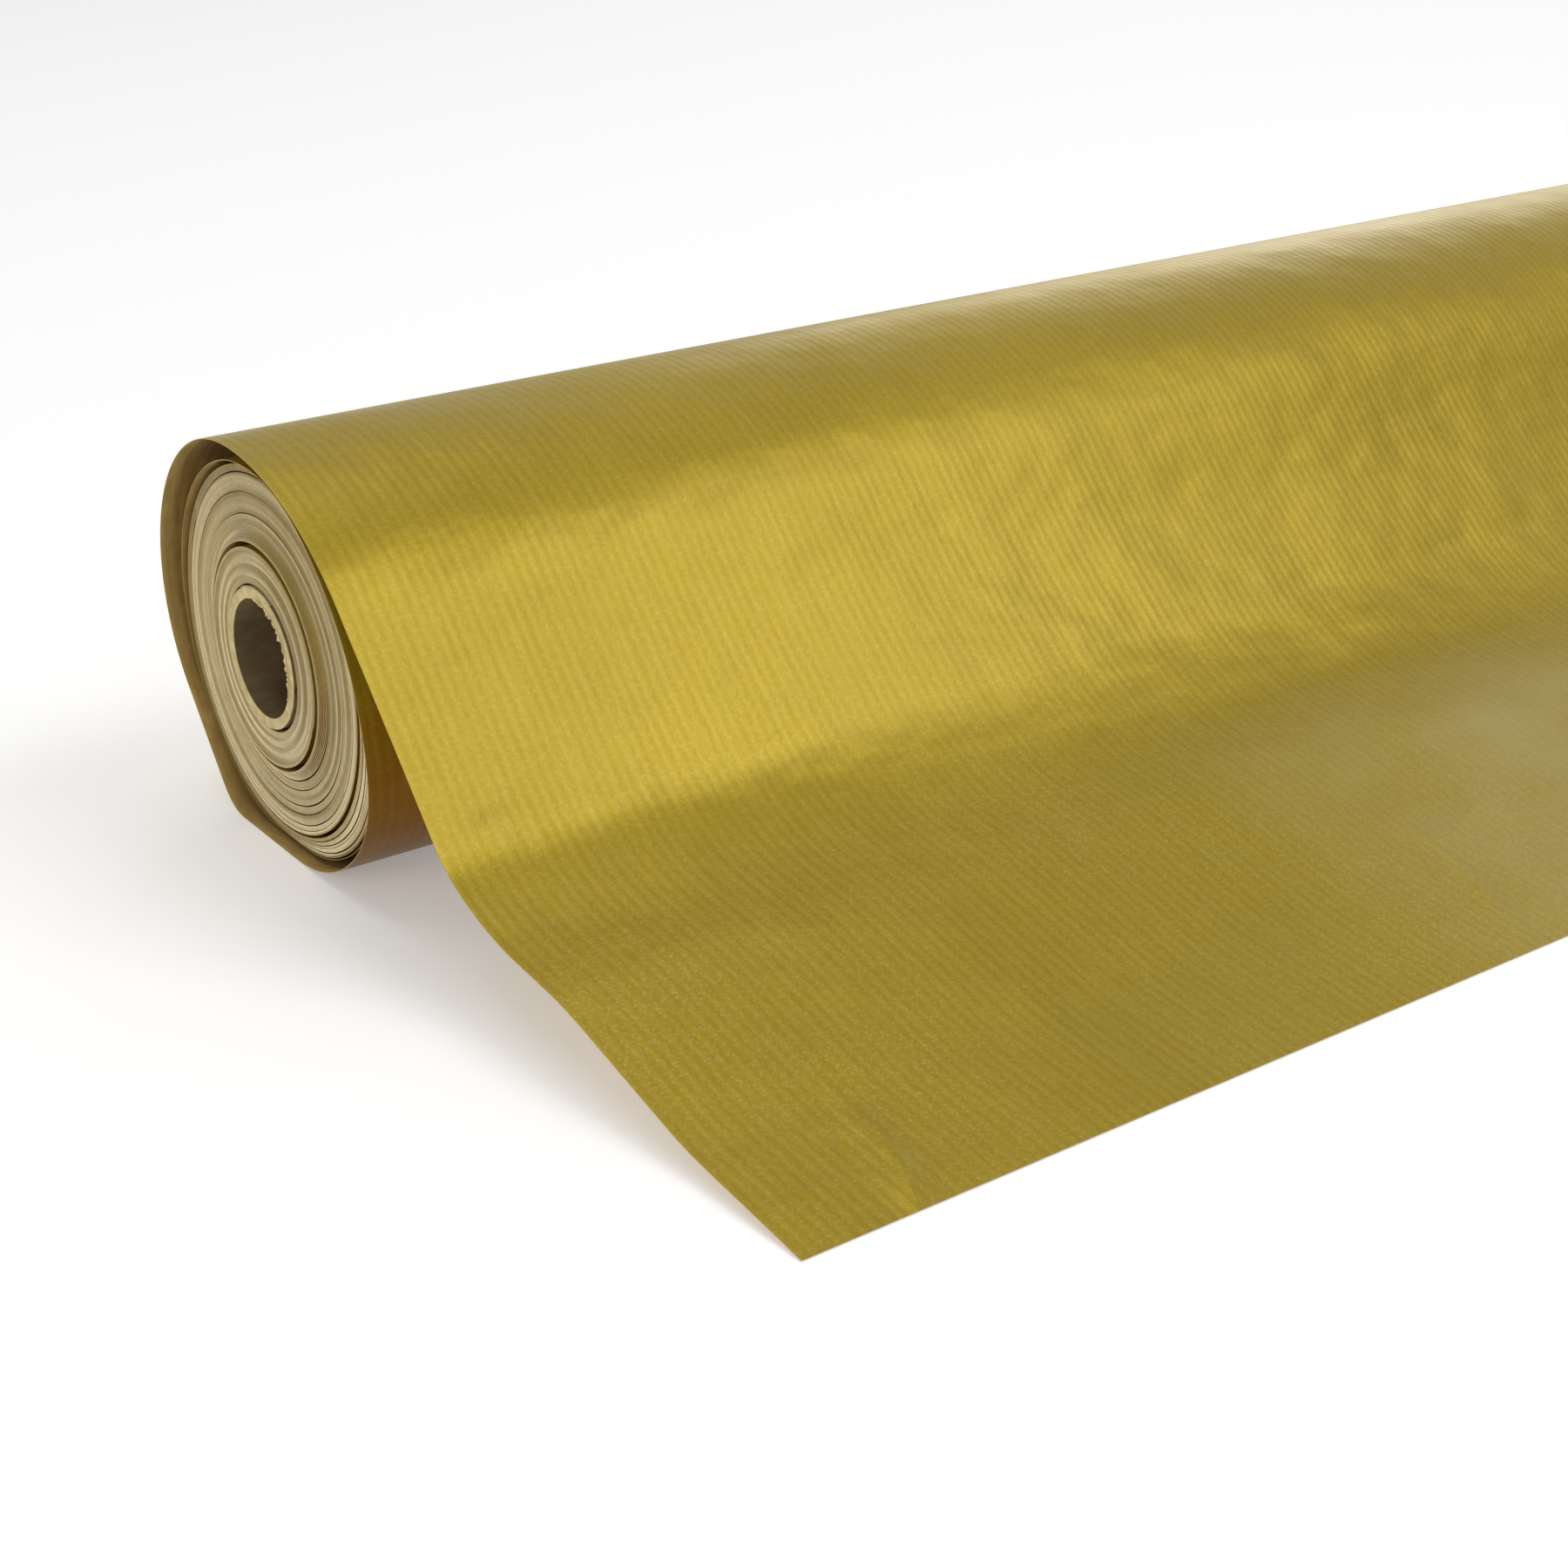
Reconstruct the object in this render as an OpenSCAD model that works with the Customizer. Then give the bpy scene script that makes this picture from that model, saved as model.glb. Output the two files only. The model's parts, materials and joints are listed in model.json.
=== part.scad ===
// Counter roll of ribbed wrapping paper on a spiral-wound cardboard core.
// The free end of the web runs over the roll, down to the table and out to the front.
// Frame: origin on the core's axis at mid-length, +X along the roll,
// +Y to the back of the roll, -Y the way the sheet runs out, +Z up.

/* [Web] */
// Width of the paper web, which is also the length of the core
web_w = 700; // [300:10:1000]
// Thickness of each loose layer of paper
paper_t = 0.3; // [0.2:0.05:0.5]
// Free space between two loose layers
turn_gap = 0.4; // [0.3:0.1:2]
// Free space between the wound pack and the loose windings round it
pack_clearance = 0.5; // [0.3:0.1:3]

/* [Core] */
// Diameter of the bore through the core
bore_d = 22.4; // [12:0.2:25]
// Thickness of one ply of cardboard
ply_t = 0.68; // [0.4:0.02:0.9]
// Thickness of the double-sided tape that holds the start of the web
tape_t = 0.25; // [0.2:0.05:0.4]
// Width of that tape round the core
tape_w = 12; // [6:1:25]

/* [Windings] */
// Outer radius of the wound pack
pack_r = 33.8; // [29:0.2:60]
// Radial thickness of the windings that are tight on the core
inner_wall = 7.1; // [3:0.1:8]
// Free space where the inner windings can slide in the middle ones
slip_gap = 0.6; // [0.3:0.1:1.5]
// Radial thickness of the middle windings
middle_wall = 5.4; // [2:0.1:6]
// How far the pack and the windings loose on it have slipped along the core
pack_shift = 2; // [0:0.5:6]
// How far the inner windings have slipped along the core
inner_shift = 0.5; // [0:0.5:6]
// How far the loose turns stand out past the core's near end
loose_shift = 0.5; // [0:0.5:6]

/* [Loose turns] */
// Thickness of the loose windings where they lie close round the pack
loose_wall = 1; // [0.6:0.1:3]
// How much wider than at the back the loose windings' front is curved
loose_ease = 9; // [4:1:9]
// Direction below the back at which the outer turn hugs the pack
hug_angle = 38; // [25:1:50]
// How much tighter than the pack the turn's back is curved
back_ease = 2.7; // [1:0.1:5]
// Height of the crown above a tight turn
crown_lift = 2; // [1.5:0.1:4]
// Radius of the turn's bend where it leaves the table at the back
corner_r = 10; // [4:1:20]
// How much wider than the second turn the outer turn's front is curved
front_ease = 12; // [11:1:16]
// Direction at which the front of the turns stands away from the pack
landing_angle = 125; // [115:1:135]
// How much tighter than round the pack the second turn's back is curved
second_ease = 0.6; // [0.2:0.1:1.5]

/* [Sheet] */
// Slope of the sheet as it comes off the roll
drape_slope = 48; // [35:1:60]
// Radius of the sheet's bend over the roll
drape_r = 56; // [50:1:80]
// Slope of the sheet at the line where it folds up
foot_slope = 24; // [15:1:30]
// Slope of the sheet just after its foot
dip_slope = 6; // [2:1:10]
// Slope of the middle of the run
run_slope = 14; // [8:1:20]
// Slope of the sheet at its front edge
end_slope = 7; // [4:1:8]
// Straight stretch of the sheet after its foot
dip_len = 8; // [2:1:40]
// Straight stretch in the middle of the run
run_len = 24; // [10:1:120]
// Straight stretch up to the front edge
end_len = 24; // [10:1:60]

/* [Hidden] */
ARC_STEP = 5;
TRUE_CIRCLE = 96;

// Core and windings, from the bore outwards
bore_r = bore_d / 2;
core_r = bore_r + 3 * ply_t;
inner_start_r = core_r + tape_t;
inner_end_r = inner_start_r + inner_wall;
middle_start_r = inner_end_r + slip_gap;
middle_end_r = middle_start_r + middle_wall;
tape_angle = tape_w / core_r * 180 / PI;

// Loose turns: outer radii where each one is tight round the pack
loose_in_r = pack_r + pack_clearance;
loose_r = loose_in_r + loose_wall;
second_r = loose_r + turn_gap + paper_t;
turn_r = second_r + turn_gap + paper_t;
table_z = -turn_r;

// Back and crown of the outer turn
crown_z = turn_r + crown_lift;
back_r = turn_r - back_ease;
back_z = crown_z - back_r;
back_y = (back_ease + back_z * sin(hug_angle)) / cos(hug_angle);
corner_in = turn_r - corner_r;
corner_y = corner_in * (1 - sin(hug_angle)) / cos(hug_angle);

// Front of a loose turn, from the bottom up to landing_angle: three bends.
// The lower two meet at 45 degrees below the front.
MEET_ANGLE = -135;
LOW_EASE = 2.7;
function front_centre(ease) = -ease * normal(landing_angle);
function side_radius(bottom, ease, low) = (bottom + front_centre(ease)[1] - low * (1 - sin(45))) / sin(45);
function front_bends(top, bottom, ease) =
    let (low = bottom - LOW_EASE)
    let (side = side_radius(bottom, ease, low))
    let (side_c = front_centre(ease) + [side - top - ease, 0])
    [
        [side_c + (side - low) * normal(MEET_ANGLE), low, -90, MEET_ANGLE],
        [side_c, side, MEET_ANGLE, -180],
        [front_centre(ease), top + ease, -180, landing_angle - 360]
    ];

// Back of the second turn
second_back_r = second_r - second_ease;
second_sweep = 90 + hug_angle;
second_reach = second_ease / cos(second_sweep / 2);
second_dir = 90 - second_sweep / 2;
second_c = second_reach * [cos(second_dir), sin(second_dir)];

// A bend is [centre, radius, first direction, last direction] of the outward normal.
// Its radius is negative where the paper is hollow to the outside.
outer_turn_bends = [
    [[back_y, back_z], back_r, 90, -hug_angle],
    [[corner_y, corner_r - turn_r], corner_r, -hug_angle, -90],
    each front_bends(second_r, turn_r, front_ease)
];
second_turn_bends = [
    [[0, 0], second_r, landing_angle, 90],
    [second_c, second_back_r, 90, -hug_angle],
    [[0, 0], second_r, -hug_angle, -90]
];

loose_bends = [
    [[0, 0], loose_r, landing_angle, -90],
    each front_bends(loose_r, loose_r, loose_ease)
];

// The sheet as stretches: [straight length, radius of the bend after it, bend in degrees]
drape_bend = [0, drape_r, drape_slope];
fold_bend = [0, -27, foot_slope - drape_slope];
run_stretches = [
    [0, -55, dip_slope - foot_slope],
    [dip_len, 87, run_slope - dip_slope]
];
end_stretches = [
    [run_len / 2, -87, end_slope - run_slope],
    [end_len, 0, 0]
];

function normal(a) = [cos(a), sin(a)];
function along(a) = [-sin(a), cos(a)];
function bend_end(b) = b[0] + b[1] * normal(b[3]);
function stretch_bend(p, a, s) = [p + s[0] * along(a) - s[1] * normal(a), s[1], a, a + s[2]];
function trace(p, a, stretches, i = 0) =
    i == len(stretches) ? [] :
    let (b = stretch_bend(p, a, stretches[i]))
    concat([b], trace(bend_end(b), b[3], stretches, i + 1));

// Height lost by a row of bends, used to bring the front edge down to the table
function lost(bends) = bends[0][0][1] + bends[0][1] * sin(bends[0][2]) - bend_end(bends[len(bends) - 1])[1];
crown = [back_y, crown_z];
trial = trace(crown, 90, concat([drape_bend, fold_bend], run_stretches, [[run_len / 2, 0, 0]], end_stretches));
spare_drop = crown_z - table_z - paper_t / cos(end_slope) - lost(trial);
drape_len = spare_drop / sin(drape_slope);

drape_bends = trace(crown, 90, [drape_bend, [drape_len, fold_bend[1], fold_bend[2]]]);
fold_line = bend_end(drape_bends[1]);
run_bends = trace(fold_line, 90 + foot_slope, concat(run_stretches, [[run_len / 2, 0, 0]]));
end_start = bend_end(run_bends[len(run_bends) - 1]);
end_bends = trace(end_start, 90 + run_slope, end_stretches);

// Points of a row of bends, moved inwards by depth
function bend_points(b, depth) =
    let (n = max(1, ceil(abs(b[3] - b[2]) / ARC_STEP)))
    [for (i = [0:(b[2] == b[3] ? 0 : n)]) b[0] + (b[1] - depth) * normal(b[2] + (b[3] - b[2]) * i / n)];
function row_points(bends, depth) = [for (b = bends) each bend_points(b, depth)];
function reversed(list) = [for (i = [len(list) - 1:-1:0]) list[i]];

// Tube along X between two radii, centred on mid
module tube(r_in, r_out, mid) {
    translate([mid - web_w / 2, 0, 0])
        rotate([0, 90, 0])
            difference() {
                cylinder(r = r_out, h = web_w, $fn = TRUE_CIRCLE);
                translate([0, 0, -1])
                    cylinder(r = r_in, h = web_w + 2, $fn = TRUE_CIRCLE);
            }
}

// Extrudes an outline drawn in Y and Z along the whole width of the web
module across_web(mid) {
    translate([mid - web_w / 2, 0, 0])
        rotate([90, 0, 90])
            linear_extrude(height = web_w)
                children();
}

// One layer of paper along a row of bends, after an optional first point on the outside
module paper(bends, first = [], mid = -loose_shift) {
    lead_out = [for (p = first) p[0]];
    lead_in = [for (p = first) p[0] - paper_t * normal(p[1])];
    across_web(mid)
        polygon(concat(lead_out, row_points(bends, 0), reversed(row_points(bends, paper_t)), lead_in));
}

module core_inner_ply() {
    color("#9a8460") tube(bore_r, bore_r + ply_t, 0);
}

module core_middle_ply() {
    color("#a89270") tube(bore_r + ply_t, bore_r + 2 * ply_t, 0);
}

module core_outer_ply() {
    color("#b39d7a") tube(bore_r + 2 * ply_t, core_r, 0);
}

module start_tape() {
    half = tape_angle / 2;
    steps = ceil(tape_angle / ARC_STEP);
    wall_r = core_r / cos(half / steps);
    angles = [for (i = [0:steps]) 90 - half + tape_angle * i / steps];
    color("#e4ddc8")
        across_web(0)
            polygon(concat(
                [for (a = angles) inner_start_r * normal(a)],
                [for (a = reversed(angles)) wall_r * normal(a)]
            ));
}

module inner_windings() {
    color("#cdbf9c") tube(inner_start_r, inner_end_r, inner_shift);
}

module middle_windings() {
    color("#c3b48d") tube(middle_start_r, middle_end_r, pack_shift);
}

module outer_windings() {
    color("#cfc2a2") tube(middle_end_r, pack_r, pack_shift);
}

module loose_windings() {
    color("#cabb94")
        across_web(pack_shift)
            difference() {
                polygon(row_points(loose_bends, 0));
                circle(r = loose_in_r, $fn = TRUE_CIRCLE);
            }
}

module second_turn() {
    color("#a5812f") paper(second_turn_bends, mid = pack_shift);
}

module outer_turn() {
    color("#a8842c") paper(outer_turn_bends);
}

module draped_sheet() {
    color("#b99a35") paper(drape_bends);
}

module sheet_run() {
    color("#a98d2d") paper(run_bends);
}

module sheet_end() {
    color("#a98d2d") paper(end_bends, [[end_start, 90 + run_slope]]);
}

core_inner_ply();
core_middle_ply();
core_outer_ply();
start_tape();
inner_windings();
middle_windings();
outer_windings();
loose_windings();
second_turn();
outer_turn();
draped_sheet();
sheet_run();
sheet_end();
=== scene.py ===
"""Counter roll of ribbed gold wrapping paper, its free end draped to the table. Lengths are in metres."""
import json
import math

import bpy
import numpy as np
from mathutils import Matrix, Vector, noise


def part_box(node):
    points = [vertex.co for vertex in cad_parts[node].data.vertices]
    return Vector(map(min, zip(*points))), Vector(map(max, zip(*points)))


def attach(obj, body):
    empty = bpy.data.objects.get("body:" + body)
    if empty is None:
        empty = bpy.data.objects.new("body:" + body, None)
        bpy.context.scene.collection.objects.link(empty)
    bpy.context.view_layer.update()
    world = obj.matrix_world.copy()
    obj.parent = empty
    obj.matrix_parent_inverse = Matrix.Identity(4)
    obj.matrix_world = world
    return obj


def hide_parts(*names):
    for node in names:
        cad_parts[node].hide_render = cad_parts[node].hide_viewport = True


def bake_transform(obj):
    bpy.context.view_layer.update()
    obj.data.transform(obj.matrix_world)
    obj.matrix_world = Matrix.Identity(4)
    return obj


MM = 0.001
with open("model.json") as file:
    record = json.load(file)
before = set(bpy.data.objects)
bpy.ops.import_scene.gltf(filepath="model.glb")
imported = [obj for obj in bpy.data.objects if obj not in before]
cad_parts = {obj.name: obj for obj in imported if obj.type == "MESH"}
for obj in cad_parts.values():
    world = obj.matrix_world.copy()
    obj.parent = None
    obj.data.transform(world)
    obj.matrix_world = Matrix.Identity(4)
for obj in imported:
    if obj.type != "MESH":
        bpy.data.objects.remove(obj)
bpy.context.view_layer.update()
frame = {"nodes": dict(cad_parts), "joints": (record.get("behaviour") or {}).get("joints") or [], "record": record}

# ---------------------------------------------------------------- sizes read from the frame
BORE_R = [m for m in frame["record"]["mounts"] if m["name"] == "core_bore"][0]["dims"]["r_mm"] * MM
CORE_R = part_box("core_outer_ply")[1].z
INNER_END_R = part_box("inner_windings")[1].z
PACK_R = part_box("outer_windings")[1].z
PACK_MID = sum(v.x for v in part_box("outer_windings")) / 2
LOOSE_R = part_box("loose_windings")[1].y
TURN_LOW, TURN_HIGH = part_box("outer_turn")
TABLE_Z = TURN_LOW.z
WEB_W = TURN_HIGH.x - TURN_LOW.x
TURN_MID = (TURN_LOW.x + TURN_HIGH.x) / 2
CROWN_Z = TURN_HIGH.z
FRONT_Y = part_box("sheet_end")[0].y
FOLD_Y, FOLD_Z = [j for j in frame["joints"] if j["name"] == "sheet_lift"][0]["pos_m"][1:]

# ---------------------------------------------------------------- the web's own sizes
PAPER_T = 0.13 * MM
RIB_PITCH = 2.22 * MM
TURN_R = -TABLE_Z
LAYER_STEP = 0.7 * MM   # from one loose turn to the next
SECOND_R = TURN_R - LAYER_STEP
REST_GAP = 0.12 * MM    # under the start of the second turn
SECOND_HUG = -80        # from here on the second turn lies round the pack, in degrees
HUG = 38                # where the outer turn hugs the pack, in degrees below the back
LANDING = 125           # where the front of the turns stands away from the pack, in degrees
BACK_EASE = 2.7 * MM
SECOND_EASE = 0.6 * MM
LOW_EASE = 2.7 * MM
LOOSE_EASE = 9 * MM
FRONT_EASE = 12 * MM
CORNER_R = 10 * MM
DRAPE_R = 56 * MM
FOOT_R, DIP_R, RUN_R = 27 * MM, 55 * MM, 87 * MM
DRAPE_SLOPE, FOOT_SLOPE, DIP_SLOPE, RUN_SLOPE, END_SLOPE = 48, 24, 6, 14, 7
DIP_LEN, RUN_LEN, END_LEN = 8 * MM, 24 * MM, 24 * MM
SEAM_AT = 4 * MM        # the loose web and the front sheet meet this far along the dip


# ---------------------------------------------------------------- the web's path in Y and Z
def normal(angle):
    """Unit vector in Y and Z at an angle in degrees."""
    return np.array([math.cos(math.radians(angle)), math.sin(math.radians(angle))])


def along(angle):
    """The way the web runs where its outward normal is at this angle."""
    return normal(angle + 90)


def bend_end(bend):
    centre, radius, first, last = bend
    return centre + radius * normal(last)


def trace(point, angle, stretches):
    """Bends of a row of stretches, each [straight length, radius of the bend after it, bend in degrees]."""
    bends = []
    for straight, radius, turn in stretches:
        centre = point + straight * along(angle) - radius * normal(angle)
        bends.append((centre, radius, angle, angle + turn))
        point, angle = bend_end(bends[-1]), angle + turn
    return bends


def front_bends(top, bottom, ease):
    """The front of a loose turn, standing away from the pack, from LANDING down to the bottom."""
    low = bottom - LOW_EASE
    centre = -ease * normal(LANDING)
    side = (bottom + centre[1] - low * (1 - math.sqrt(0.5))) / math.sqrt(0.5)
    side_c = centre + np.array([side - top - ease, 0])
    low_c = side_c + (side - low) * normal(225)
    return [(centre, top + ease, LANDING, 180), (side_c, side, 180, 225), (low_c, low, 225, 270)]


def loose_bends():
    """The second turn and the outer turn, from the front of the loose windings up to the crown."""
    half_sweep = (90 + HUG) / 2
    second_c = SECOND_EASE / math.cos(math.radians(half_sweep)) * normal(90 - half_sweep)
    back_r = TURN_R - BACK_EASE
    back_z = CROWN_Z - back_r
    sin_hug, cos_hug = math.sin(math.radians(HUG)), math.cos(math.radians(HUG))
    back_c = np.array([(BACK_EASE + back_z * sin_hug) / cos_hug, back_z])
    corner_c = np.array([(TURN_R - CORNER_R) * (1 - sin_hug) / cos_hug, CORNER_R - TURN_R])
    origin = np.zeros(2)
    under = LOOSE_R + PAPER_T + REST_GAP
    start = [(c, r, first - 360, last - 360) for c, r, first, last in front_bends(under, under, LOOSE_EASE)]
    return [
        *start,
        (origin, SECOND_R, SECOND_HUG, -HUG),
        (second_c, SECOND_R - SECOND_EASE, -HUG, 90),
        (origin, SECOND_R, 90, LANDING),
        *front_bends(SECOND_R, TURN_R, FRONT_EASE),
        (corner_c, CORNER_R, 270, 360 - HUG),
        (back_c, back_r, 360 - HUG, 450),
    ]


def dense_path(bends, first=None, last=None, chord=0.25 * MM):
    """Points, normal angles and lengths along a row of bends, close together."""
    points, angles = ([] if first is None else [first[0]]), ([] if first is None else [first[1]])
    for centre, radius, start, end in bends:
        count = max(1, math.ceil(abs(radius * math.radians(end - start)) / chord))
        for i in range(count + 1 if end != start else 1):
            angle = start + (end - start) * i / count
            points.append(centre + radius * normal(angle))
            angles.append(angle)
    if last is not None:
        points.append(last[0])
        angles.append(last[1])
    points, angles = np.array(points), np.array(angles)
    lengths = np.concatenate([[0], np.cumsum(np.linalg.norm(np.diff(points, axis=0), axis=1))])
    keep = np.concatenate([[True], np.diff(lengths) > 1e-9])
    return points[keep], angles[keep], lengths[keep]


def resample(path, step):
    """The path at even steps."""
    points, angles, lengths = path
    at = np.linspace(0, lengths[-1], max(2, round(lengths[-1] / step) + 1))
    out = np.column_stack([np.interp(at, lengths, points[:, i]) for i in (0, 1)])
    return out, np.interp(at, lengths, angles), at


# ---------------------------------------------------------------- meshes
def add_mesh(name, vertices, faces, slots, materials, smooth_angle=35):
    """A mesh object with a material slot for each face."""
    mesh = bpy.data.meshes.new(name)
    mesh.from_pydata(np.asarray(vertices).tolist(), [], np.asarray(faces).tolist())
    for material in materials:
        mesh.materials.append(material)
    mesh.polygons.foreach_set("material_index", np.asarray(slots, np.int32))
    mesh.shade_smooth()
    mesh.set_sharp_from_angle(angle=math.radians(smooth_angle))
    mesh.update()
    piece = bpy.data.objects.new(name, mesh)
    bpy.context.scene.collection.objects.link(piece)
    return piece


def grid_faces(rows, columns, offset, flip=False):
    """Quads of a grid of vertices that starts at offset."""
    i, j = np.meshgrid(np.arange(rows - 1), np.arange(columns - 1), indexing="ij")
    a = offset + i * columns + j
    quads = np.stack([a, a + 1, a + columns + 1, a + columns], axis=-1).reshape(-1, 4)
    return quads[:, ::-1] if flip else quads


def sheet_mesh(name, outside, inward, materials):
    """A closed thin sheet from a grid of outside points and the vectors to its inside."""
    rows, columns = outside.shape[:2]
    inside = outside + inward
    vertices = np.concatenate([outside.reshape(-1, 3), inside.reshape(-1, 3)])
    count = rows * columns
    rim = np.concatenate([
        np.arange(columns),
        np.arange(1, rows) * columns + columns - 1,
        (rows - 1) * columns + np.arange(columns - 2, -1, -1),
        np.arange(rows - 2, 0, -1) * columns,
    ])
    after = np.roll(rim, -1)
    edge = np.stack([rim, rim + count, after + count, after], axis=-1)
    top, bottom = grid_faces(rows, columns, 0), grid_faces(rows, columns, count, flip=True)
    faces = np.concatenate([top, bottom, edge])
    slots = [0] * len(top) + [1] * len(bottom) + [2] * len(edge)
    return add_mesh(name, vertices, faces, slots, materials)


def waves(x, y, seed, long_x, long_y):
    """Smooth random height, about -1 to 1, with waves of these lengths in X and Y."""
    return noise.noise(Vector((x / long_x, y / long_y, seed)))


def web_piece(name, path, columns, height, materials, drift=lambda angle: 0.0):
    """A stretch of the web along a path, raised by height(x, y) and moved along X by drift(angle)."""
    points, angles, _ = path
    xs = np.linspace(TURN_LOW.x, TURN_HIGH.x, columns)
    outside = np.zeros((len(points), columns, 3))
    inward = np.zeros_like(outside)
    for i, ((y, z), angle) in enumerate(zip(points, angles)):
        n = normal(angle)
        for j, x in enumerate(xs):
            lift = height(x, y)
            outside[i, j] = (x + drift(angle), y + lift * n[0], z + lift * n[1])
        inward[i, :, 1:] = -PAPER_T * n
    return sheet_mesh(name, outside, inward, materials)


def winding(name, r_start, r_end, pitch, mid, slip, bulge, end_angle, materials, fill=0, steps=120):
    """The web wound as a spiral up to end_angle, and its length.

    slip(radius, angle) moves it towards -X and bulge(angle, share) outwards. Where the turns stand apart,
    each one is thickened to fill that share of the space up to the next."""
    turns = (r_end - PAPER_T - r_start) / pitch
    count = int(turns * steps)
    turn = np.arange(count + 1) / steps
    share = turn / turns
    angle = math.radians(end_angle) + 2 * math.pi * (turn - turn[-1])
    lift = np.array([bulge(a % (2 * math.pi), k) for a, k in zip(angle, share)])
    space = np.concatenate([lift[steps:] - lift[:-steps], np.zeros(steps)])
    r = r_start + pitch * turn + lift
    top = r + PAPER_T + fill * np.maximum(0, space)
    shift = np.array([slip(q, a) for q, a in zip(r_start + pitch * turn, angle)])
    near, far = mid - WEB_W / 2 - shift, mid + WEB_W / 2 - shift
    rings = []
    for x, radius in ((near, r), (near, top), (far, top), (far, r)):
        rings.append(np.stack([x, radius * np.cos(angle), radius * np.sin(angle)], axis=-1))
    vertices = np.stack(rings, axis=1).reshape(-1, 3)
    length = np.sum(np.hypot(np.diff(r * np.cos(angle)), np.diff(r * np.sin(angle))))
    a = 4 * np.arange(count)
    sides = []
    for k in range(4):
        q = (k + 1) % 4
        sides.append(np.stack([a + k, a + 4 + k, a + 4 + q, a + q], axis=-1))
    caps = np.array([[3, 2, 1, 0], [4 * count, 4 * count + 1, 4 * count + 2, 4 * count + 3]])
    slots = [2] * count + [0] * count + [2] * count + [1] * count + [2, 2]
    faces = np.concatenate([*sides, caps])[:, ::-1]
    return add_mesh(name, vertices, faces, slots, materials), float(length)


# ---------------------------------------------------------------- materials
class Graph:
    """Adds shader nodes to a tree. A call takes outputs, numbers or colours, and gives the new output."""

    def __init__(self, tree, coordinates):
        self.nodes, self.links = tree.nodes, tree.links
        self.place = self.nodes.new("ShaderNodeTexCoord").outputs[coordinates]
        split = self.nodes.new("ShaderNodeSeparateXYZ")
        self.links.new(self.place, split.inputs[0])
        self.x, self.y, self.z = split.outputs

    def feed(self, socket, value):
        """Links an output to a socket, or sets the socket to a number or a colour."""
        if isinstance(value, (int, float)):
            socket.default_value = value
        elif isinstance(value, tuple):
            socket.default_value = (*value, 1)
        else:
            self.links.new(value, socket)

    def maths(self, operation, *values, clamp=False):
        made = self.nodes.new("ShaderNodeMath")
        made.operation, made.use_clamp = operation, clamp
        for socket, value in zip(made.inputs, values):
            self.feed(socket, value)
        return made.outputs[0]

    def plus(self, a, b):
        return self.maths("ADD", a, b)

    def minus(self, a, b):
        return self.maths("SUBTRACT", a, b)

    def times(self, a, b, clamp=False):
        return self.maths("MULTIPLY", a, b, clamp=clamp)

    def ramp(self, source, stops):
        """A colour ramp fed by source. A stop's colour may be one number, for a grey."""
        made = self.nodes.new("ShaderNodeValToRGB")
        elements = made.color_ramp.elements
        while len(elements) < len(stops):
            elements.new(0.5)
        for element, (position, colour) in zip(elements, stops):
            element.position = position
            element.color = (*colour, 1) if isinstance(colour, tuple) else (colour, colour, colour, 1)
        self.feed(made.inputs["Fac"], source)
        return made.outputs["Color"]

    def mix(self, factor, a, b, blend="MIX"):
        """Mixes two colours."""
        made = self.nodes.new("ShaderNodeMix")
        made.data_type, made.blend_type = "RGBA", blend
        for socket, value in ((made.inputs[0], factor), (made.inputs[6], a), (made.inputs[7], b)):
            self.feed(socket, value)
        return made.outputs[2]

    def noise(self, scale, detail, stretch=None):
        """Noise at the place, longer along an axis where stretch is below 1."""
        place = self.place
        if stretch is not None:
            mapping = self.nodes.new("ShaderNodeMapping")
            mapping.inputs["Scale"].default_value = stretch
            self.links.new(place, mapping.inputs["Vector"])
            place = mapping.outputs[0]
        made = self.nodes.new("ShaderNodeTexNoise")
        made.inputs["Scale"].default_value, made.inputs["Detail"].default_value = scale, detail
        self.links.new(place, made.inputs["Vector"])
        return made.outputs["Fac"]

    def noise_along(self, value, scale, detail):
        """Noise that changes only with value."""
        made = self.nodes.new("ShaderNodeTexNoise")
        made.noise_dimensions = "1D"
        made.inputs["Scale"].default_value, made.inputs["Detail"].default_value = scale, detail
        self.links.new(value, made.inputs["W"])
        return made.outputs["Fac"]

    def cell_distance(self, scale):
        """Distance to the middle of the nearest cell."""
        made = self.nodes.new("ShaderNodeTexVoronoi")
        made.inputs["Scale"].default_value = scale
        self.links.new(self.place, made.inputs["Vector"])
        return made.outputs["Distance"]

    def ribs(self):
        """0 to 1 across each rib."""
        wave = self.maths("SINE", self.times(self.x, 2 * math.pi / RIB_PITCH))
        return self.plus(self.times(wave, 0.5), 0.5)

    def radius(self):
        """Distance from the roll's axis."""
        return self.maths("SQRT", self.plus(self.times(self.y, self.y), self.times(self.z, self.z)))

    def from_end(self):
        """How far it is from the nearer end of the web."""
        return self.minus(WEB_W / 2, self.maths("ABSOLUTE", self.x))

    def window(self, value, low, high, soft):
        """1 between low and high, fading out over soft inside each limit."""
        rise = self.times(self.minus(value, low), 1 / soft, clamp=True)
        fall = self.times(self.minus(high, value), 1 / soft, clamp=True)
        return self.times(rise, fall)

    def bump(self, height, distance, strength, under=None):
        made = self.nodes.new("ShaderNodeBump")
        made.inputs["Distance"].default_value, made.inputs["Strength"].default_value = distance, strength
        self.links.new(height, made.inputs["Height"])
        if under is not None:
            self.links.new(under, made.inputs["Normal"])
        return made.outputs[0]

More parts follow.
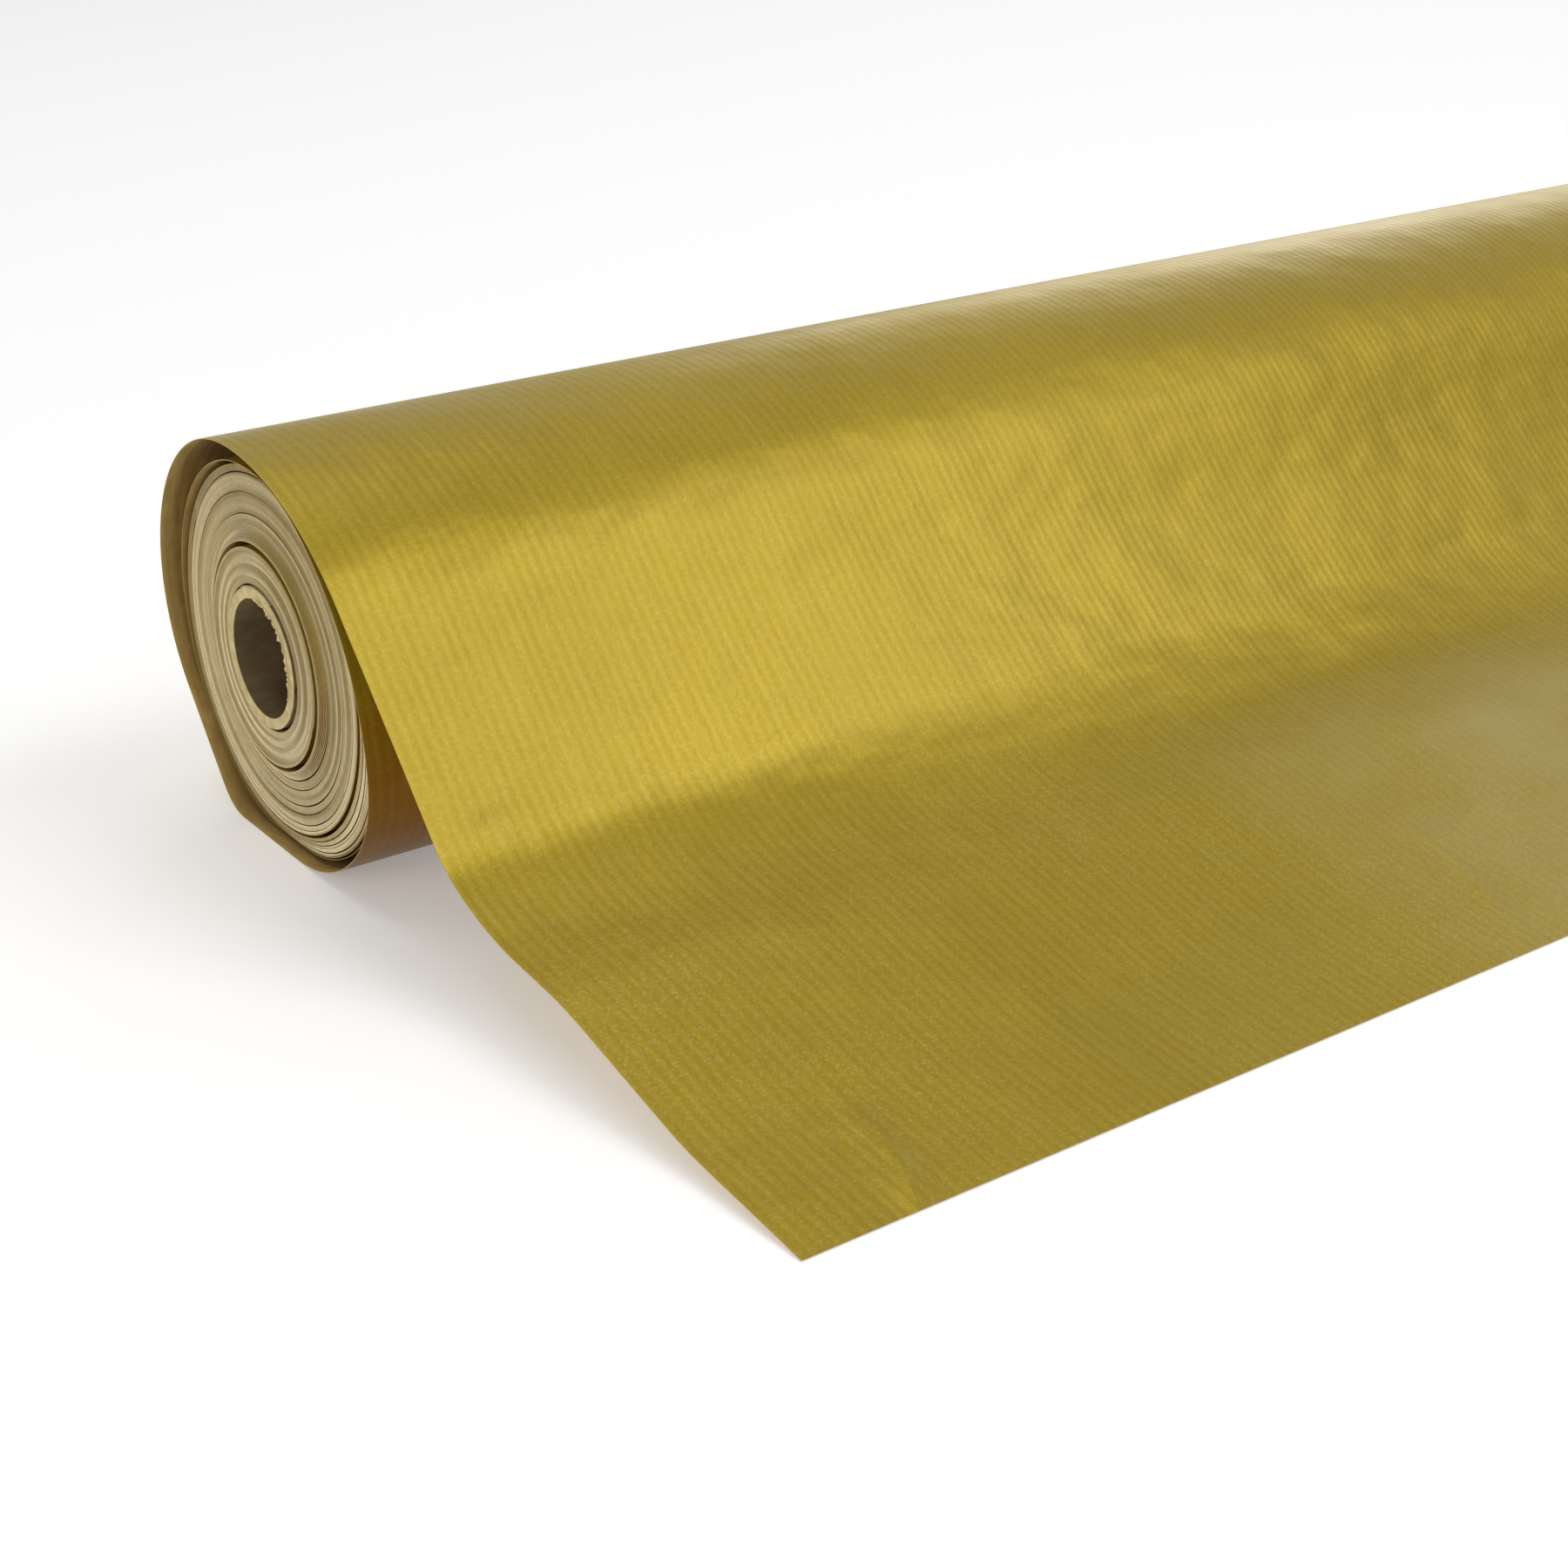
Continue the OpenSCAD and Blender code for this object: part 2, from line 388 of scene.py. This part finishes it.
    def surface(self, colour, roughness, normal=None, **others):
        """Sets the material's shader. In others, the words of an input's name are joined by underscores."""
        inputs = self.nodes["Principled BSDF"].inputs
        self.feed(inputs["Base Color"], colour)
        self.feed(inputs["Roughness"], roughness)
        if normal is not None:
            self.feed(inputs["Normal"], normal)
        for name, value in others.items():
            self.feed(inputs[name.replace("_", " ")], value)


def new_material(name):
    material = bpy.data.materials.new(name)
    material.use_nodes = True
    return material, Graph(material.node_tree, "Object")


def gold_material():
    """Gold print on ribbed kraft: satin, slightly streaky, with fine specks of fibre, painted shade on the front
    of the turns and a painted pale sheen on the run.
    """
    material, g = new_material("gold_ribbed_paper")
    rib = g.ribs()
    cloud = g.noise(14, 3)
    streak = g.noise(900, 2, (1, 0.06, 0.06))
    speck = g.noise(1500, 3)
    base = g.ramp(rib, [(0.0, (0.34, 0.236, 0.006)), (1.0, (0.415, 0.295, 0.011))])
    base = g.mix(0.45, base, g.ramp(cloud, [(0.3, (0.34, 0.236, 0.008)), (0.7, (0.42, 0.30, 0.016))]))
    base = g.mix(g.ramp(streak, [(0.45, 0), (0.75, 0.2)]), base, (0.50, 0.38, 0.05))
    base = g.mix(g.ramp(speck, [(0.48, 0), (0.76, 0.28)]), base, (0.58, 0.45, 0.12))
    # Painted shade: the front of the turns is tinted browner and darker towards the table.
    base = g.mix(front_turn(g), base, g.mix(1.0, base, painted_low_shade(g), "MULTIPLY"))
    # Painted sheen: a pale cloudy patch of reflected light on the run.
    base = g.mix(painted_sheen(g), base, (0.50, 0.40, 0.15))
    base = g.mix(flecks(g, cloud), base, (0.64, 0.52, 0.20))
    relief = g.bump(g.noise(44, 2.2, (0.75, 1, 1)), 2 * MM, 0.65)
    relief = g.bump(g.noise(150, 2, (0.6, 1, 1)), 0.4 * MM, 0.5, relief)
    relief = g.bump(creases(g), 1.2 * MM, 1.0, relief)
    relief = g.bump(speck, 0.012 * MM, 0.6, relief)
    relief = g.bump(rib, 0.028 * MM, 1.0, relief)
    roughness = g.ramp(cloud, [(0.3, 0.37), (0.7, 0.46)])
    g.surface(base, roughness, relief,
              Metallic=0.5, Specular_IOR_Level=0.25, Coat_Weight=0.10, Coat_Roughness=0.25)
    return material


def painted_sheen(g):
    """A painted pale sheen: a cloudy patch of reflected light on the run, where the creased paper catches the
    light.
    """
    across = g.window(g.x, -215 * MM, -60 * MM, 55 * MM)
    along_run = g.window(g.y, -210 * MM, -85 * MM, 25 * MM)
    patch = g.ramp(g.noise(45, 4, (0.6, 1, 1)), [(0.3, 0.25), (0.7, 0.8)])
    return g.times(g.times(across, along_run), patch)


def flecks(g, cloud):
    """Small bare specks in the print, more of them towards the sheet's front edge."""
    forward = g.ramp(g.times(g.y, -8), [(0.35, 0.15), (0.8, 1)])
    worn = g.times(forward, g.ramp(cloud, [(0.35, 0.2), (0.6, 1)]))
    dots = g.ramp(g.cell_distance(1150), [(0.15, 1), (0.4, 0)])
    return g.times(g.times(dots, worn), 0.3)


# Faint creases in the run: centre in X and Y, lean, bow and half width, lengths in mm
CREASES = [(-188, -147, 1.7, 4, 10), (-172, -128, -0.45, 6, 16), (-327, -158, 2.0, 2, 6)]


def creases(g):
    """Height of the creases, each a curved step that dies away."""
    height = 0
    for centre_x, centre_y, lean, bow, half_width in CREASES:
        over = g.minus(g.x, centre_x * MM)
        line = g.plus(g.times(over, lean), g.times(g.maths("SINE", g.times(over, 150)), bow * MM))
        off = g.minus(g.minus(g.y, centre_y * MM), line)
        step = g.ramp(g.plus(g.times(off, 25), 0.5), [(0.1, 0), (0.42, 0.7), (0.58, 0.3), (0.9, 0)])
        near = g.window(over, -half_width * MM, half_width * MM, 0.6 * half_width * MM)
        height = g.plus(g.times(step, near), height)
    return height


def front_turn(g):
    """Mask of the painted shade: 1 on the front of the turns, which stand in the sheet's shade, fading out
    upwards.
    """
    reach = g.plus(g.radius(), g.times(g.z, 0.3))
    inside = g.maths("LESS_THAN", reach, 1.22 * TURN_R)
    front = g.maths("LESS_THAN", g.y, 0.0)
    down = g.times(g.minus(14 * MM, g.z), 1 / (24 * MM))
    return g.times(g.times(inside, front), down, clamp=True)


def painted_low_shade(g):
    """Painted shade: browner and darker towards the table."""
    height = g.times(g.plus(g.z, TURN_R), 1 / (1.4 * TURN_R))
    return g.ramp(height, [(0.0, (0.46, 0.29, 0.22)), (0.7, (0.70, 0.46, 0.36)), (1.0, (0.95, 0.85, 0.7))])


def kraft_material(name, light, dark):
    """Unprinted side of the paper: ribbed kraft with fibres, with painted shade inside the loose turns, darker
    further in from the near end.
    """
    material, g = new_material(name)
    fibre = g.noise(700, 4, (1, 0.3, 0.3))
    base = g.ramp(fibre, [(0.3, dark), (0.7, light)])
    base = g.mix(0.25, base, g.ramp(g.noise(40, 3), [(0.3, dark), (0.7, light)]))
    # Painted shade: darker further in from the near end, inside the loose turns, where light does not reach.
    deep = g.ramp(g.times(g.from_end(), 1 / (3 * MM)), [(0.0, 0), (0.3, 0.35), (1.0, 0.8)])
    painted_shade_between_turns = g.times(deep, g.maths("GREATER_THAN", g.y, -1.2 * TURN_R))
    base = g.mix(painted_shade_between_turns, base, g.mix(1.0, base, (0.50, 0.41, 0.28), "MULTIPLY"))
    relief = g.bump(g.ribs(), 0.05 * MM, 0.8, g.bump(fibre, 0.03 * MM, 0.6))
    g.surface(base, 0.75, relief)
    return material


def edge_material():
    """Cut edges of the wound web: pale paper with darker lines between the turns, partly painted shade in the
    gaps, and painted shade across the end face.
    """
    material, g = new_material("wound_paper_edges")
    radius = g.radius()
    fleck = g.noise(500, 4)
    # The darker ring groups are partly painted shade in the gaps between groups of turns, partly the paper's own
    # tone.
    groups = g.ramp(g.noise_along(radius, 420, 1),
                    [(0.36, (0.28, 0.20, 0.07)), (0.48, (0.60, 0.49, 0.26)), (0.62, (0.84, 0.74, 0.47))])
    rings = g.ramp(g.noise_along(radius, 2200, 3), [(0.35, (0.36, 0.26, 0.10)), (0.6, (0.84, 0.73, 0.46))])
    base = g.mix(0.25, groups, rings)
    base = g.mix(0.2, base, g.ramp(fleck, [(0.35, (0.46, 0.35, 0.16)), (0.65, (0.82, 0.72, 0.46))]))
    base = g.mix(0.2, base, g.ramp(g.noise(60, 2), [(0.35, (0.44, 0.33, 0.14)), (0.65, (0.78, 0.67, 0.42))]))
    # Painted shade: the end face is lighter towards the bottom and back, darker towards the top and front.
    lean = g.plus(g.times(g.y, 0.45 / TURN_R), g.times(g.z, -0.75 / TURN_R))
    shade = g.ramp(g.plus(g.times(lean, 0.5), 0.5),
                   [(0.1, (0.74, 0.69, 0.60)), (0.45, (0.88, 0.85, 0.79)), (0.9, (1.12, 1.12, 1.12))])
    g.surface(g.mix(1.0, base, shade, "MULTIPLY"), 0.85, g.bump(fleck, 0.05 * MM, 0.7))
    return material


def board_material(name, light, dark):
    """Grey-brown spiral-wound core board with fibres and the faint seam of the winding strip, with painted shade
    deeper in the bore.
    """
    material, g = new_material(name)
    fibre = g.noise(420, 5, (0.4, 1, 1))
    base = g.ramp(fibre, [(0.3, dark), (0.7, light)])
    base = g.mix(0.4, base, g.ramp(g.noise(90, 3), [(0.35, dark), (0.65, light)]))
    turn = g.times(g.maths("ARCTAN2", g.z, g.y), 1 / (2 * math.pi))
    wound = g.plus(g.times(g.x, 1 / (58 * MM)), turn)
    seam = g.maths("ABSOLUTE", g.minus(g.maths("FRACT", wound), 0.5))
    line = g.ramp(seam, [(0.0, 0), (0.012, 1)])
    base = g.mix(line, tuple(0.45 * c for c in dark), base)
    # Painted shade: the board darkens further in from the ends, inside the bore.
    dim = g.ramp(g.times(g.from_end(), 50), [(0.0, 1), (1.0, (0.42, 0.40, 0.40))])
    base = g.mix(1.0, base, dim, "MULTIPLY")
    at_end = g.maths("GREATER_THAN", g.maths("ABSOLUTE", g.x), WEB_W / 2 - 0.1 * MM)
    cut_end = g.ramp(fibre, [(0.3, (0.42, 0.31, 0.13)), (0.7, (0.64, 0.53, 0.27))])
    relief = g.bump(line, 0.15 * MM, 1.0, g.bump(fibre, 0.06 * MM, 0.8))
    g.surface(g.mix(at_end, base, cut_end), 0.9, relief)
    return material


def tape_material():
    """Thin double-sided tissue tape."""
    material, g = new_material("start_tape_tissue")
    fibre = g.noise(600, 3)
    colour = g.ramp(fibre, [(0.3, (0.34, 0.26, 0.12)), (0.7, (0.48, 0.39, 0.20))])
    g.surface(colour, 0.45, g.bump(fibre, 0.03 * MM, 0.5))
    return material


gold = gold_material()
kraft = kraft_material("kraft_inside", (0.60, 0.415, 0.135), (0.40, 0.26, 0.065))
edges = edge_material()
cut = kraft_material("paper_cut_edge", (0.50, 0.38, 0.13), (0.36, 0.26, 0.07))
board = board_material("core_board", (0.24, 0.165, 0.075), (0.11, 0.07, 0.027))
tape = tape_material()


# ---------------------------------------------------------------- camera, floor and light
def add_camera():
    """Looks along the roll from its near end, at the angle of the reference view."""
    data = bpy.data.cameras.new("camera")
    data.sensor_width, data.lens = 36, 59.6
    data.clip_start, data.clip_end = 0.01, 20
    camera = bpy.data.objects.new("camera", data)
    camera.location = (TURN_LOW.x - 179.3 * MM, -409.6 * MM, TABLE_Z + 211.7 * MM)
    camera.rotation_euler = (math.radians(65.42), 0, math.radians(-35.94))
    bpy.context.scene.collection.objects.link(camera)
    bpy.context.scene.camera = camera


def add_light(name, place, target, size, power, colour=(1, 1, 1)):
    data = bpy.data.lights.new(name, "AREA")
    data.shape, data.size, data.size_y = "RECTANGLE", size[0], size[1]
    data.energy, data.color = power, colour
    light = bpy.data.objects.new(name, data)
    light.location = place
    light.rotation_euler = (Vector(target) - Vector(place)).to_track_quat("-Z", "Y").to_euler()
    bpy.context.scene.collection.objects.link(light)


def add_studio():
    """A pale floor and surround, a large softbox above the front, and three fills round the roll."""
    mesh = bpy.data.meshes.new("floor")
    side = 6.0
    corners = [(-side, -side, 0), (side, -side, 0), (side, side, 0), (-side, side, 0)]
    mesh.from_pydata(corners, [], [(0, 1, 2, 3)])
    floor = bpy.data.objects.new("floor", mesh)
    floor.location.z = TABLE_Z - 0.02 * MM
    material, graph = new_material("pale_floor")
    graph.surface((0.92, 0.92, 0.92), 0.9, Emission_Color=(1.0, 1.0, 1.0), Emission_Strength=0.25)
    mesh.materials.append(material)
    bpy.context.scene.collection.objects.link(floor)
    add_surround()
    add_light("softbox", (0.40, -0.72, 1.20), (-0.25, -0.05, 0), (1.15, 0.55), 7.2)
    add_light("back_window", (1.6, 1.5, 0.55), (0, 0, 0), (1.2, 0.5), 5)
    add_light("end_fill", (-1.3, -0.35, 0.35), (-0.35, 0, 0), (0.8, 0.6), 3.8, (1.0, 0.97, 0.92))
    add_light("top_fill", (-0.2, 0.6, 1.9), (0, 0, 0), (1.6, 1.2), 8)


def add_surround():
    """Pale walls: brightest low down at the back right, dimmer overhead and behind the camera."""
    world = bpy.data.worlds.new("surround")
    bpy.context.scene.world = world
    world.use_nodes = True
    graph = Graph(world.node_tree, "Generated")
    right, back, low = graph.times(graph.x, 0.8), graph.times(graph.y, 0.5), graph.times(graph.z, -0.7)
    side = graph.plus(graph.plus(right, back), low)
    share = graph.plus(graph.times(side, 0.5), 0.5)
    tone = graph.ramp(share, [(0.15, 0.34), (0.5, (0.52, 0.52, 0.53)), (0.95, 0.8)])
    background = graph.nodes["Background"]
    graph.feed(background.inputs["Color"], tone)
    background.inputs["Strength"].default_value = 0.9


add_camera()
add_studio()
bpy.context.scene.view_settings.view_transform = "Standard"


# ---------------------------------------------------------------- the loose web
WEB_STEP = 1.8 * MM     # between two rows of the mesh
WEB_COLUMNS = 141
FOOT_FILL = 3.2 * MM    # how much the bend at the foot is filled out, away from the near end
FOOT_FILL_Y, FOOT_FILL_REACH = FOLD_Y + 4 * MM, 15 * MM
WAVE, RIPPLE = 0.55 * MM, 0.12 * MM


def smooth_step(a, b, v):
    """0 at a, 1 at b, and smooth between them."""
    t = min(1.0, max(0.0, (v - a) / (b - a)))
    return t * t * (3 - 2 * t)


def crown():
    """The top of the outer turn, where the drape starts."""
    return bend_end(loose_bends()[-1])


def drape_stretches():
    """From the crown to the middle of the dip after the foot."""
    over, foot = [0, DRAPE_R, DRAPE_SLOPE], [drape_len(), -FOOT_R, FOOT_SLOPE - DRAPE_SLOPE]
    return [over, foot, [0, -DIP_R, DIP_SLOPE - FOOT_SLOPE]]


def drape_len():
    """The straight stretch that brings the sheet down to the fold line."""
    bends = trace(crown(), 90, [[0, DRAPE_R, DRAPE_SLOPE], [0, -FOOT_R, FOOT_SLOPE - DRAPE_SLOPE]])
    return (bend_end(bends[-1])[1] - FOLD_Z) / math.sin(math.radians(DRAPE_SLOPE))


def web_height(x, y):
    """How far the loose web stands out from its path.

    The free sheet has slight waves, and away from the near end its foot is bent less sharply."""
    past_foot = (y - FOOT_FILL_Y) / FOOT_FILL_REACH
    fill = FOOT_FILL * smooth_step(-345 * MM, -220 * MM, x) * math.exp(-past_foot ** 2)
    free = smooth_step(20 * MM, -60 * MM, y) * smooth_step(FRONT_Y - 2 * MM, FRONT_Y + 30 * MM, y)
    wide = waves(x, y, 1.3, 160 * MM, 50 * MM)
    fine = waves(x, y, 7.7, 35 * MM, 30 * MM)
    return fill + free * (WAVE * wide + RIPPLE * fine)


def web_drift(angle):
    """The loose web slips from the pack's place along the core to its own over the second turn."""
    return (PACK_MID - TURN_MID) * (1 - smooth_step(-60, 190, angle))


def build_web():
    """The loose web and the front sheet, each with its length along the path."""
    turns = loose_bends()
    drape = trace(crown(), 450, drape_stretches())
    dip_start = bend_end(drape[-1])
    dip_angle = drape[-1][3]
    seam = dip_start + SEAM_AT * along(dip_angle)
    path = resample(dense_path(turns + drape, last=(seam, dip_angle)), WEB_STEP)
    loose_len = float(path[2][-1])
    loose = web_piece("loose_web", path, WEB_COLUMNS, web_height, [gold, kraft, cut], web_drift)
    rise, fall = RUN_SLOPE - DIP_SLOPE, END_SLOPE - RUN_SLOPE
    run = trace(seam, dip_angle, [[DIP_LEN - SEAM_AT, RUN_R, rise], [RUN_LEN, -RUN_R, fall], [END_LEN, 0, 0]])
    path = resample(dense_path(run, first=(seam, dip_angle)), WEB_STEP)
    front = web_piece("front_sheet", path, WEB_COLUMNS, web_height, [gold, kraft, cut])
    return loose, loose_len, front, float(path[2][-1])


loose_web, loose_len, front_sheet, front_len = build_web()


# ---------------------------------------------------------------- the wound pack
TURN_PITCH = 0.19 * MM
TAPE_GAP = 0.1 * MM     # between the core and the first turn
SLIP_GAP = 0.6 * MM     # between the inner windings and the pack
FAN_GAP = 0.25 * MM     # between the pack and the loose windings
INNER_LAST = 200        # where the inner windings' last turn ends, in degrees
INNER_MID = sum(v.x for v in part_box("inner_windings")) / 2
MIDDLE_START_R = INNER_END_R + SLIP_GAP
FAN_START_R = PACK_R + FAN_GAP
RING_SLIP, TURN_SLIP, SWAY = 0.50 * MM, 0.05 * MM, 0.10 * MM
FOLLOW_SLIP, FOLLOW_WALL = 1.3 * MM, 2.6 * MM
# Crescent gaps: share of the way out, direction in degrees, size in mm
INNER_GAPS = [(0, 95, 0.6), (0, -130, 0.5), (0.5, 140, 0.2)]
PACK_GAPS = [(0, 60, 0.3), (0.16, -120, 0.3), (0.3, -80, 0.25), (0.4, 110, 0.25), (0.52, -130, 0.3),
             (0.64, -95, 0.25), (0.72, 30, 0.2), (0.82, -120, 0.22), (0.91, -85, 0.18)]
# How much of the loose windings' bulge each turn takes: share of the way out, share of the bulge
FAN_SHARES = [(0, 0.04), (0.16, 0.1), (0.2, 0.26), (0.36, 0.33), (0.4, 0.5), (0.58, 0.58), (0.62, 0.76),
              (0.8, 0.86), (1, 1)]


def slip(radius, angle):
    """How far a turn has slipped towards the near end: smooth rings, some sharper than others."""
    wide = RING_SLIP * noise.noise(Vector((radius / (1.6 * MM), 3.1, 0)))
    fine = TURN_SLIP * noise.noise(Vector((radius / (0.42 * MM), 8.4, 0)))
    sway = SWAY * math.sin(angle + radius / (2 * MM))
    return wide + fine + sway


def pack_slip(radius, angle):
    """The same in the pack, whose innermost turns have followed the inner windings out."""
    followed = 1 - smooth_step(MIDDLE_START_R, MIDDLE_START_R + FOLLOW_WALL, radius)
    return slip(radius, angle) + FOLLOW_SLIP * followed


def crescent(angle, towards):
    """1 at one direction in degrees, fading to 0 round the turn."""
    return max(0.0, math.cos(angle - math.radians(towards))) ** 2


def slack(angle, share, gaps):
    """How far a turn is pushed out by the crescent gaps inside it, each (share, direction, size)."""
    out = 0.0
    for start, towards, size in gaps:
        if share >= start:
            out += size * crescent(angle, towards) * (1 - share) / (1 - start)
    return out * MM


def loose_edge():
    """Radius of the loose windings' outside at each whole degree."""
    tight = (np.zeros(2), LOOSE_R, -90, LANDING)
    points = dense_path([tight, *front_bends(LOOSE_R, LOOSE_R, LOOSE_EASE)])[0]
    around = np.degrees(np.arctan2(points[:, 1], points[:, 0])) % 360
    order = np.argsort(around)
    return np.interp(np.arange(361), around[order], np.hypot(*points.T)[order])


LOOSE_EDGE = loose_edge()


def fan(angle, share):
    """How far a loose turn stands out from a round one: the turns fan out low at the front, unevenly."""
    lift = np.interp(math.degrees(angle), np.arange(361), LOOSE_EDGE) - LOOSE_R
    return lift * np.interp(share, *zip(*FAN_SHARES))


web_materials = [gold, kraft, edges]
inner_spiral, inner_len = winding(
    "inner_spiral", CORE_R + TAPE_GAP, INNER_END_R, TURN_PITCH, INNER_MID, slip,
    lambda angle, share: slack(angle, share, INNER_GAPS), INNER_LAST, web_materials)
pack_spiral, pack_len = winding(
    "pack_spiral", MIDDLE_START_R, PACK_R, TURN_PITCH, PACK_MID, pack_slip,
    lambda angle, share: slack(angle, share, PACK_GAPS), LANDING, web_materials)
fan_spiral, fan_len = winding(
    "fan_spiral", FAN_START_R, LOOSE_R, TURN_PITCH, PACK_MID, slip, fan, LANDING,
    web_materials, fill=0.8)


TEAR, CURL = 1.3 * MM, 0.25 * MM
TORN_FROM, TORN_SWEEP = 85, 120


def frayed_rim(steps=150):
    """Torn fibres along the bore's near edge, up and to the front."""
    rows = []
    near = -WEB_W / 2
    for i in range(steps + 1):
        angle = TORN_FROM + TORN_SWEEP * i / steps
        ragged = max(0, noise.noise(Vector((i * 0.31, 2.5, 0))) + 0.25)
        tear = TEAR * ragged * math.sin(math.pi * i / steps) ** 0.5
        curl = CURL * noise.noise(Vector((i * 0.22, 9.1, 0)))
        inner, outer = (BORE_R - tear - 0.02 * MM) * normal(angle), (BORE_R + 0.3 * MM) * normal(angle)
        rows.append((near - 0.10 * MM, *outer))
        rows.append((near - 0.12 * MM + curl, *inner))
        rows.append((near + curl, *inner))
        rows.append((near - 0.02 * MM, *outer))
    a = 4 * np.arange(steps)
    sides = [np.stack([a + k, a + 4 + k, a + 4 + (k + 1) % 4, a + (k + 1) % 4], axis=-1) for k in range(4)]
    caps = np.array([[3, 2, 1, 0], [4 * steps, 4 * steps + 1, 4 * steps + 2, 4 * steps + 3]])
    faces = np.concatenate([*sides, caps])
    return add_mesh("core_fray", rows, faces, [0] * len(faces), [board])


core_fray = frayed_rim()

# ---------------------------------------------------------------- riding on the frame
for piece, body, nodes_shown in ((inner_spiral, "core", ["inner_windings"]),
                                 (pack_spiral, "pack", ["middle_windings", "outer_windings"]),
                                 (fan_spiral, "loose_web", ["loose_windings"])):
    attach(piece, body)
    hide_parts(*nodes_shown)

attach(core_fray, "core")

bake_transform(loose_web)
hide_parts("second_turn", "outer_turn", "draped_sheet")
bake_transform(front_sheet)
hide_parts("sheet_run", "sheet_end")

for name in ("core_inner_ply", "core_middle_ply", "core_outer_ply"):
    ply = frame["nodes"][name]
    ply.data.materials.clear()
    ply.data.materials.append(board)
frame["nodes"]["start_tape"].data.materials.clear()
frame["nodes"]["start_tape"].data.materials.append(tape)
